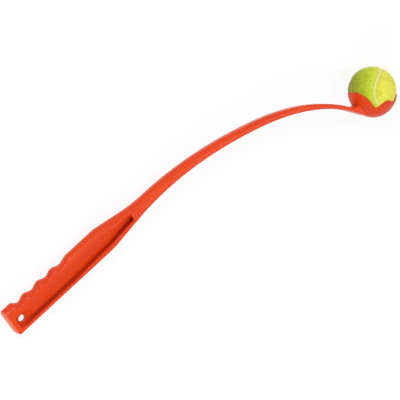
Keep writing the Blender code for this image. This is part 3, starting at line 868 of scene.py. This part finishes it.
plasticLook = {
    "colour": (0.69, 0.052, 0.0045),
    "deepColour": (0.64, 0.040, 0.003),
    "colourSpan": (0.3, 0.72),  # of the clouds, from the deep colour to the plain one
    # painted shade for the recess's inner corner
    "paintedCreviceShadeColour": (0.36, 0.010, 0.0008),
    "paintedCreviceShade": 0.78,  # how strongly the recess's corner takes that painted shade
    # pale colour of the rubbed edges and of the butt face's painted reflection
    "wornAndReflectedColour": (0.80, 0.19, 0.10),
    "wear": 0.25,  # how strongly the edges are rubbed
    "wearSpan": (0.54, 0.66),  # pointiness from whole to worn
    "buttReflection": 0.80,  # how strongly the butt face takes the painted reflection
    "buttReflectionReach": (0.0008, 0.0032),  # behind the leaning face
    "roughness": 0.34,
    "creviceRoughness": 0.35,  # the recess's corner is that much rougher
    "roughSpread": 0.05,  # cloudy change of the roughness
    "grainSize": 0.0009,
    "cloudSize": 0.03,
    "flow": (0.35, 1, 1),  # the clouds are drawn out along the arm
    "partingHalf": 0.00012,  # half width of the mould's parting line
    "partingHeight": 1.6,  # in grains
    "bump": 0.6,
    "bumpDepth": 0.00002,
    "dust": 0.012,
    "patchSize": 0.012,
    "shader": {"Specular IOR Level": 0.18, "IOR": 1.49},
}


def makePlastic():
    look = plasticLook
    material, build, shader = newFinish("armPlastic")
    grain = grained(build, look)
    deepPlace, plainPlace = look["colourSpan"]
    colour = build.ramp(grain["Cloud"], (deepPlace, look["deepColour"]), (plainPlace, look["colour"]))
    # painted shade: the recess's inner corner is darkened as if shaded, and the same mask makes it rougher
    corner = build.attribute("paintedCreviceShade")
    deep = build.mixed(corner * look["paintedCreviceShade"], colour, look["paintedCreviceShadeColour"])

    # the line where the mould's two halves met runs round the arm's middle plane
    place = build.add("ShaderNodeMapping", {
        "Vector": build.place(), "Location": armInverse.translation, "Rotation": armInverse.to_euler()})
    along, up, across = build.axes(place)
    half = look["partingHalf"]
    parting = build.mapped(build.math("ABSOLUTE", across), half / 2, half * 1.5, 1, 0)

    # edges rubbed paler by hands and ground, and a painted reflection that makes the butt face paler
    pointed = build.outputs(build.add("ShaderNodeNewGeometry"))["Pointiness"]
    edges = build.mapped(pointed, *look["wearSpan"], 0, look["wear"])
    butt = build.mapped(along - up * tan(gripSizes["buttLean"]), *look["buttReflectionReach"], look["buttReflection"], 0)
    wornAndReflected = build.mixed(build.math("MAXIMUM", edges, butt), deep, look["wornAndReflectedColour"])
    plain, spread = look["roughness"], look["roughSpread"]
    cloudy = lerp(plain - spread, plain + spread, grain["Cloud"])
    finishShader(build, shader, look, wornAndReflected, corner * look["creviceRoughness"] + cloudy,
                 parting * look["partingHeight"] + grain["Height"])
    return material


# Ball

feltLook = {
    "paintedShadeTint": (0.24, 0.30, 0.012),  # painted shade, towards the shaft
    "paintedHalfShadeTint": (0.52, 0.63, 0.036),
    "paintedLitTint": (0.80, 0.76, 0.088),  # painted light, towards the front
    "middlePlace": 0.55,  # where the middle tint stands between them
    "paintedLightSide": (0.705, -0.581, 0.408),  # which way the painted lit side lies
    "paintedLightSpan": (-0.95, 0.35),  # from the painted shaded green to the painted lit yellow, in shares of the ball's radius
    "stroke": 0.80,  # depth of the brushed strokes
    "strokeSpan": (0.35, 0.6),
    "fibreLight": 1.12,  # tone of the palest fibres
    "fibreShare": 0.75,  # how far the others go towards it
    "grainSize": 0.0006,
    "cloudSize": 0.0042,  # of the strokes
    "flow": (1, 2.6, 1),
    "roughness": 0.95,
    "bump": 0.8,
    "bumpDepth": 0.0003,
    "dust": 0.03,
    "patchSize": 0.012,
    "shader": {"Sheen Weight": 0.30, "Sheen Roughness": 0.5, "Sheen Tint": (1.0, 1.0, 0.55),
               "Specular IOR Level": 0.15},
}

fibreSizes = {
    "density": 2.3e6,  # fibres on a square metre
    "length": 0.0011,
    "width": 0.00009,
    "sides": 3,
    "joints": 2,
    "bend": 0.45,
    "lean": 1.5,  # how far the nap lies over
    "brush": 3,  # pull of the swirls, in shares of the lean
    "swirl": 170.0,  # how quickly the nap's direction changes
    "jitter": 0.8,
    "stretch": (0.55, 1.1),
    "tone": (0.1, 1.0),
    "facing": 0.4,  # fibres grow where a face points outwards at least so much
}

rubberLook = {
    # each rubber's deep colour is its painted shade, on the side of the ball away from the light
    "seam": {"colour": (0.68, 0.67, 0.23), "deepColour": (0.32, 0.40, 0.06), "roughness": 0.8,
             "dust": 0.03},
    "core": {"colour": (0.045, 0.045, 0.048), "deepColour": (0.03, 0.03, 0.032), "roughness": 0.75,
             "dust": 0.04},
    "cloudiness": 0.4,
    "colourPlace": 0.8,  # share of the painted lit side from which the plain colour rules; below it the rubber takes its painted shade
    "grainSize": 0.0005,
    "cloudSize": 0.004,
    "flow": (1, 1, 1),
    "bump": 0.5,
    "bumpDepth": 0.0001,
    "patchSize": 0.004,
    "shader": {},
}


def seamPoint(angle):
    # unit vector to the seam, which swings to and fro about a great circle
    swing = ballSizes["seamSwing"]
    main = 1 - swing
    direction = Vector((
        main * cos(angle) + swing * cos(3 * angle), main * sin(angle) - swing * sin(3 * angle),
        2 * sqrt(main * swing) * sin(2 * angle)))
    return (Euler(ballSizes["seamTurn"]).to_matrix() @ direction).normalized()


def seamDistances(points):
    # signed distance over the surface from each unit vector to the seam
    count = ballSizes["seamSamples"]
    seam = np.array([seamPoint(2 * pi * step / count) for step in range(count)])
    ahead = np.roll(seam, -1, axis=0) - np.roll(seam, 1, axis=0)
    side = np.cross(ahead, seam)
    side /= np.linalg.norm(side, axis=1)[:, None]
    nearness = points @ seam.T
    nearest = nearness.argmax(axis=1)
    offset = points - seam[nearest]
    signed = np.sign((offset * side[nearest]).sum(axis=1))
    return signed * np.arccos(np.clip(nearness.max(axis=1), -1, 1)) * ballSizes["radius"]


def cutAtLevel(bm, layer, level):
    # splits the faces along the line where the layer's value is the level
    onLine = {vert for vert in bm.verts if abs(vert[layer] - level) < ballSizes["snap"]}
    for edge in list(bm.edges):
        start, end = edge.verts
        low, high = start[layer], end[layer]
        if start not in onLine and end not in onLine and (low - level) * (high - level) < 0:
            _, vert = bmesh.utils.edge_split(edge, start, (level - low) / (high - low))
            onLine.add(vert)
    for face in list(bm.faces):
        ends = [vert for vert in face.verts if vert in onLine]
        if len(ends) == 2 and not bm.edges.get(ends):
            bmesh.utils.face_split(face, *ends)
    for vert in onLine:
        vert[layer] = level


def feltPanel(name, side):
    # one dumb-bell panel: cut out of a sphere along the seam, edges rolled over, matted, made thick
    size = ballSizes
    bm = bmesh.new()
    bmesh.ops.create_icosphere(bm, subdivisions=size["feltLevel"], radius=size["radius"])
    layer = bm.verts.layers.float.new("seamDistance")
    distances = seamDistances(np.array([vert.co.normalized() for vert in bm.verts])) * side
    for vert, distance in zip(bm.verts, distances):
        vert[layer] = distance
    edge = size["seamWidth"] / 2
    for share in size["feltRollShares"]:
        cutAtLevel(bm, layer, edge + size["feltRoll"] * share)
    outside = [vert for vert in bm.verts if vert[layer] < edge - size["snap"] / 2]
    bmesh.ops.delete(bm, geom=outside, context="VERTS")
    for vert in bm.verts:
        away = clamp((vert[layer] - edge) / size["feltRoll"])
        drop = size["feltRollDepth"] * (1 - sqrt(1 - (1 - away) ** 2))
        lump = noise.fractal(vert.co / size["mattingSize"], *size["mattingNoise"])
        drop += size["matting"] * clamp((lump + 1) / 2)
        vert.co = vert.co.normalized() * (size["radius"] - drop)
    outer = list(bm.faces)
    inside = bmesh.ops.extrude_face_region(bm, geom=outer, use_keep_orig=True)["geom"]
    for vert in inside:
        if isinstance(vert, bmesh.types.BMVert):
            vert.co = vert.co.normalized() * feltInner

    # the faces between both sides come in any order, so they get a fixed one, after the others
    settled = {*outer, *inside}
    count = len(bm.faces)
    bm.faces.index_update()
    bm.faces.sort(key=lambda face: face.index if face in settled else count + face.calc_center_median().x)
    bmesh.ops.recalc_face_normals(bm, faces=bm.faces)
    mesh = meshFrom(bm, name)
    mesh.transform(cupMatrix)
    return mesh


def makeNapTree(sizes):
    # bent fibres all over a panel's outer face, brushed over in slow swirls
    size = fibreSizes
    build, given, made = newGeometryTree("feltNap", {"Geometry": "Geometry", **sizes})
    position = build.field("GeometryNodeInputPosition")
    outward = build.vector("NORMALIZE", build.vector("SUBTRACT", position, given["Centre"]))
    facing = build.vector("DOT_PRODUCT", outward, build.field("GeometryNodeInputNormal"))
    outerFace = build.field("FunctionNodeCompare", {"A": facing, "B": size["facing"]},
                            data_type="FLOAT", operation="GREATER_THAN")
    scattered = build.add("GeometryNodeDistributePointsOnFaces", {
        "Mesh": given["Geometry"], "Selection": outerFace, "Density": given["Density"],
        "Seed": given["Seed"]})

    # one fibre: a slim cone, bent over
    cone = build.add("GeometryNodeMeshCone", {
        "Vertices": size["sides"], "Side Segments": size["joints"], "Radius Top": 0.0,
        "Radius Bottom": given["Width"] / 2, "Depth": given["Length"]})
    _, _, height = build.axes(position)
    curl = build.math("POWER", height, 2) / given["Length"] * given["Bend"]
    fibre = build.add("GeometryNodeSetPosition", {"Geometry": cone, "Offset": build.combine(curl, 0, 0)})

    # each draw has a seed of its own
    def drawn(low, high, seedGap):
        first, kind = (2, "FLOAT") if isinstance(low, float) else (0, "FLOAT_VECTOR")
        return build.field("FunctionNodeRandomValue", {
            first: low, first + 1: high, "Seed": given["Seed"] + seedGap}, data_type=kind)

    swirl = build.add("ShaderNodeTexNoise", {"Vector": position, "Scale": given["Swirl"], "Detail": 1})
    brushed = build.scaled(build.vector("SUBTRACT", build.outputs(swirl)["Color"], (0.5, 0.5, 0.5)),
                           given["Lean"] * size["brush"])
    jitter = drawn((-size["jitter"],) * 3, (size["jitter"],) * 3, 0)
    direction = build.vector("ADD", build.vector("ADD", outward, brushed), jitter)
    turned = build.add("FunctionNodeAlignRotationToVector", {"Vector": direction}, axis="Z")
    spin = drawn(0.0, 2 * pi, 3)
    spun = build.add("FunctionNodeRotateRotation", {
        "Rotation": turned,
        "Rotate By": build.add("FunctionNodeEulerToRotation", {"Euler": build.combine(0, 0, spin)})},
        rotation_space="LOCAL")
    planted = build.add("GeometryNodeInstanceOnPoints", {
        "Points": scattered, "Instance": fibre, "Rotation": spun,
        "Scale": drawn(*size["stretch"], 7)})
    marked = build.add("GeometryNodeStoreNamedAttribute", {
        "Geometry": planted, "Name": "fibreTone", "Value": drawn(*size["tone"], 11)},
        data_type="FLOAT", domain="INSTANCE")
    both = build.add("GeometryNodeJoinGeometry", {"Geometry": marked})
    build.fill(both, {"Geometry": given["Geometry"]})
    return finishTree(build, given, made, both)


# painted light: share of the way from the ball's painted shaded side to its painted lit side
def paintedLightShare(build):
    low, high = (share * ballSizes["radius"] for share in feltLook["paintedLightSpan"])
    return effect(build, paintedLightGroup, {
        "Centre": ballCentre, "Direction": feltLook["paintedLightSide"], "Start": low, "End": high})["Share"]


def makeFelt(name):
    look = feltLook
    material, build, shader = newFinish(name)

    # felt with painted light and shade: green on its painted shaded side, yellow on its painted lit side
    tint = build.ramp(paintedLightShare(build), (0, look["paintedShadeTint"]), (look["middlePlace"], look["paintedHalfShadeTint"]),
                      (1, look["paintedLitTint"]))

    # brushed strokes are darker, the fibres' tips lighter
    grain = grained(build, look)
    strokes = build.mapped(grain["Cloud"], *look["strokeSpan"], look["stroke"], 1)
    tips = lerp(strokes, look["fibreLight"], build.attribute("fibreTone") * look["fibreShare"])
    finishShader(build, shader, look, build.scaled(tint, tips), look["roughness"], grain["Height"])
    return material


def makeFeltPanels():
    sizes = {"Centre": ballCentre, "Seed": 0, **socketValues(
        fibreSizes, "Density", "Length", "Width", "Bend", "Lean", "Swirl")}
    tree = makeNapTree(sizes)
    panels = (("feltPanelRear", 1, "felt_panel_a"), ("feltPanelFront", -1, "felt_panel_b"))
    for seed, (name, side, node) in enumerate(panels):
        values = {**sizes, "Seed": seed, "Material": makeFelt(name + "Felt")}
        mesh = grown(name, tree, values, feltPanel(name, side))
        shadeSmooth(mesh, ballSizes["sharpAngle"])
        panel = addPiece(name, mesh)
        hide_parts(node)
        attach(panel, "ball")
        print("felt panel napped:", name, len(mesh.polygons), "faces")


def makeRubber(name, kind):
    # painted light and shade: both rubbers are paler on the ball's painted lit side and darker on its
    # shaded side, with a faint cloudiness
    look = {**rubberLook, **rubberLook[kind]}
    material, build, shader = newFinish(name)
    grain = grained(build, look)
    share = paintedLightShare(build) + (grain["Cloud"] - 0.5) * look["cloudiness"]
    shade = build.ramp(share, (0, look["deepColour"]), (look["colourPlace"], look["colour"]))
    finishShader(build, shader, look, shade, look["roughness"], grain["Height"])
    return material


def seamRing(radius):
    # a closed ring of points along the seam
    count = ballSizes["seamPoints"]
    mesh = bpy.data.meshes.new("seamRing")
    mesh.from_pydata([seamPoint(2 * pi * step / count) * radius for step in range(count)],
                     [(step, (step + 1) % count) for step in range(count)], [])
    return mesh


def makeSeamTree(sizes):
    # a round bead along a ring, pressed flat towards the ball's middle
    build, given, made = newGeometryTree("seamBead", {"Geometry": "Geometry", **sizes})
    profile = build.add("GeometryNodeCurvePrimitiveCircle", {
        "Resolution": ballSizes["seamSides"], "Radius": given["Bead"]})
    tube = build.add("GeometryNodeCurveToMesh", {
        "Curve": build.add("GeometryNodeMeshToCurve", {"Mesh": given["Geometry"]}),
        "Profile Curve": profile})
    position = build.field("GeometryNodeInputPosition")
    flat = lerp(build.vector("LENGTH", position), given["Radius"], given["Flatness"])
    pressed = build.add("GeometryNodeSetPosition", {
        "Geometry": tube, "Position": build.scaled(build.vector("NORMALIZE", position), flat)})
    return finishTree(build, given, made, pressed)


def makeSeam():
    size = ballSizes
    bead = size["seamWidth"] / 2 + size["seamOverlap"]
    radius = size["radius"] - size["seamSink"] - bead * (1 - size["seamFlatness"])
    sizes = {"Radius": radius, "Bead": bead, "Flatness": size["seamFlatness"]}
    rubber = makeRubber("seamRubber", "seam")
    mesh = grown("seamBead", makeSeamTree(sizes), {**sizes, "Material": rubber}, seamRing(radius))
    faceOutwards(mesh)
    mesh.transform(cupMatrix)
    shadeSmooth(mesh, size["sharpAngle"])
    seam = addPiece("seamBead", mesh)
    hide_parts("ball_seam")
    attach(seam, "ball")
    print("seam laid:", len(mesh.polygons), "faces")


def finishCore():
    rubber = makeRubber("coreRubber", "core")
    for name in ("ball_core_lower", "ball_core_upper"):
        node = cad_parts[name]
        node.data.materials.clear()
        node.data.materials.append(rubber)
    print("core finished")


# Studio

studio = {
    "turn": radians(24.11),  # how the photograph's camera looks at the arm
    "lean": radians(3.957),
    "roll": radians(41.252),
    "distance": 2.0305,  # to the ball
    "clipEnd": 50,
    "focalPixels": 1478,
    "ballPixel": (372.15, 90.59),
    "imagePixels": 400,
    "sensor": 36,  # in millimetres
    "floorRadius": 6,
    "floorSegments": 64,
    "floorGap": 0.0002,
    "worldLight": 0.61,
    "floorGlow": 0.88,  # share of the floor that is plain white
    "floorColour": (0.90, 0.90, 0.90),
    "floorRoughness": 0.9,
    # where each softbox hangs, its side and its power; all look at the middle of the arm
    "lamps": {
        "keySoftbox": ((0.75, -0.3, 1.9), 0.8, 9.5),
        "leftSoftbox": ((-1.5, -1.0, 1.3), 0.6, 13),
        "topSoftbox": ((-0.2, 1.5, 1.6), 0.6, 16.5),
    },
}


def makeCamera():
    size = studio
    focal = size["focalPixels"]
    middle = size["imagePixels"] / 2
    across, down = size["ballPixel"]
    ballInView = Vector(((across - middle) / focal, (middle - down) / focal, -1)) * size["distance"]
    toView = (Matrix.Rotation(size["turn"], 4, "Y") @ Matrix.Rotation(size["lean"], 4, "X")
              @ Matrix.Rotation(size["roll"], 4, "Z"))
    data = bpy.data.cameras.new("camera")
    data.sensor_width = size["sensor"]
    data.lens = focal * size["sensor"] / size["imagePixels"]
    data.clip_end = size["clipEnd"]
    camera = addPiece("camera", data)
    camera.matrix_world = (armMatrix @ Matrix.Translation(ballPoint) @ toView.inverted()
                           @ Matrix.Translation(-ballInView))
    bpy.context.scene.camera = camera


def whiteRays(build):
    # 1 for rays that should see plain white: camera, mirror and glass
    path = build.outputs(build.add("ShaderNodeLightPath"))
    seen = build.math("MAXIMUM", path["Is Camera Ray"], path["Is Glossy Ray"])
    return build.math("MAXIMUM", seen, path["Is Transmission Ray"])


def makeWorld():
    world = bpy.data.worlds.new("studio")
    bpy.context.scene.world = world
    world.use_nodes = True
    build = NodeTree(world.node_tree)
    build.fill(world.node_tree.nodes["Background"], {
        "Color": (1, 1, 1), "Strength": lerp(studio["worldLight"], 1, whiteRays(build))})


def makeFloor():
    bm = bmesh.new()
    bmesh.ops.create_circle(
        bm, cap_ends=True, segments=studio["floorSegments"], radius=studio["floorRadius"])
    bmesh.ops.translate(bm, vec=(0, 0, -studio["floorGap"]), verts=bm.verts)
    ground = addPiece("floor", meshFrom(bm, "floor"))
    material, build, shader = newFinish("floorWhite")
    build.fill(shader, {"Base Color": studio["floorColour"], "Roughness": studio["floorRoughness"],
                        "Specular IOR Level": 0})
    glow = build.add("ShaderNodeEmission", {"Color": (1, 1, 1), "Strength": 1})
    mixed = build.add("ShaderNodeMixShader", {
        "Fac": whiteRays(build) * studio["floorGlow"], 1: shader, 2: glow})
    build.fill(material.node_tree.nodes["Material Output"], {"Surface": mixed})
    ground.data.materials.append(material)


def makeLamps():
    for name, (place, side, power) in studio["lamps"].items():
        data = bpy.data.lights.new(name, "AREA")
        data.shape = "SQUARE"
        data.size = side
        data.energy = power
        lamp = addPiece(name, data)
        lamp.location = place
        lamp.rotation_euler = (-Vector(place)).to_track_quat("-Z", "Y").to_euler()


makeCamera()
makeWorld()
makeFloor()
makeLamps()
print("studio set")

makeArm(makePlastic())
makeFeltPanels()
makeSeam()
finishCore()

bpy.context.scene.view_settings.view_transform = "Standard"
print("pieces finished")
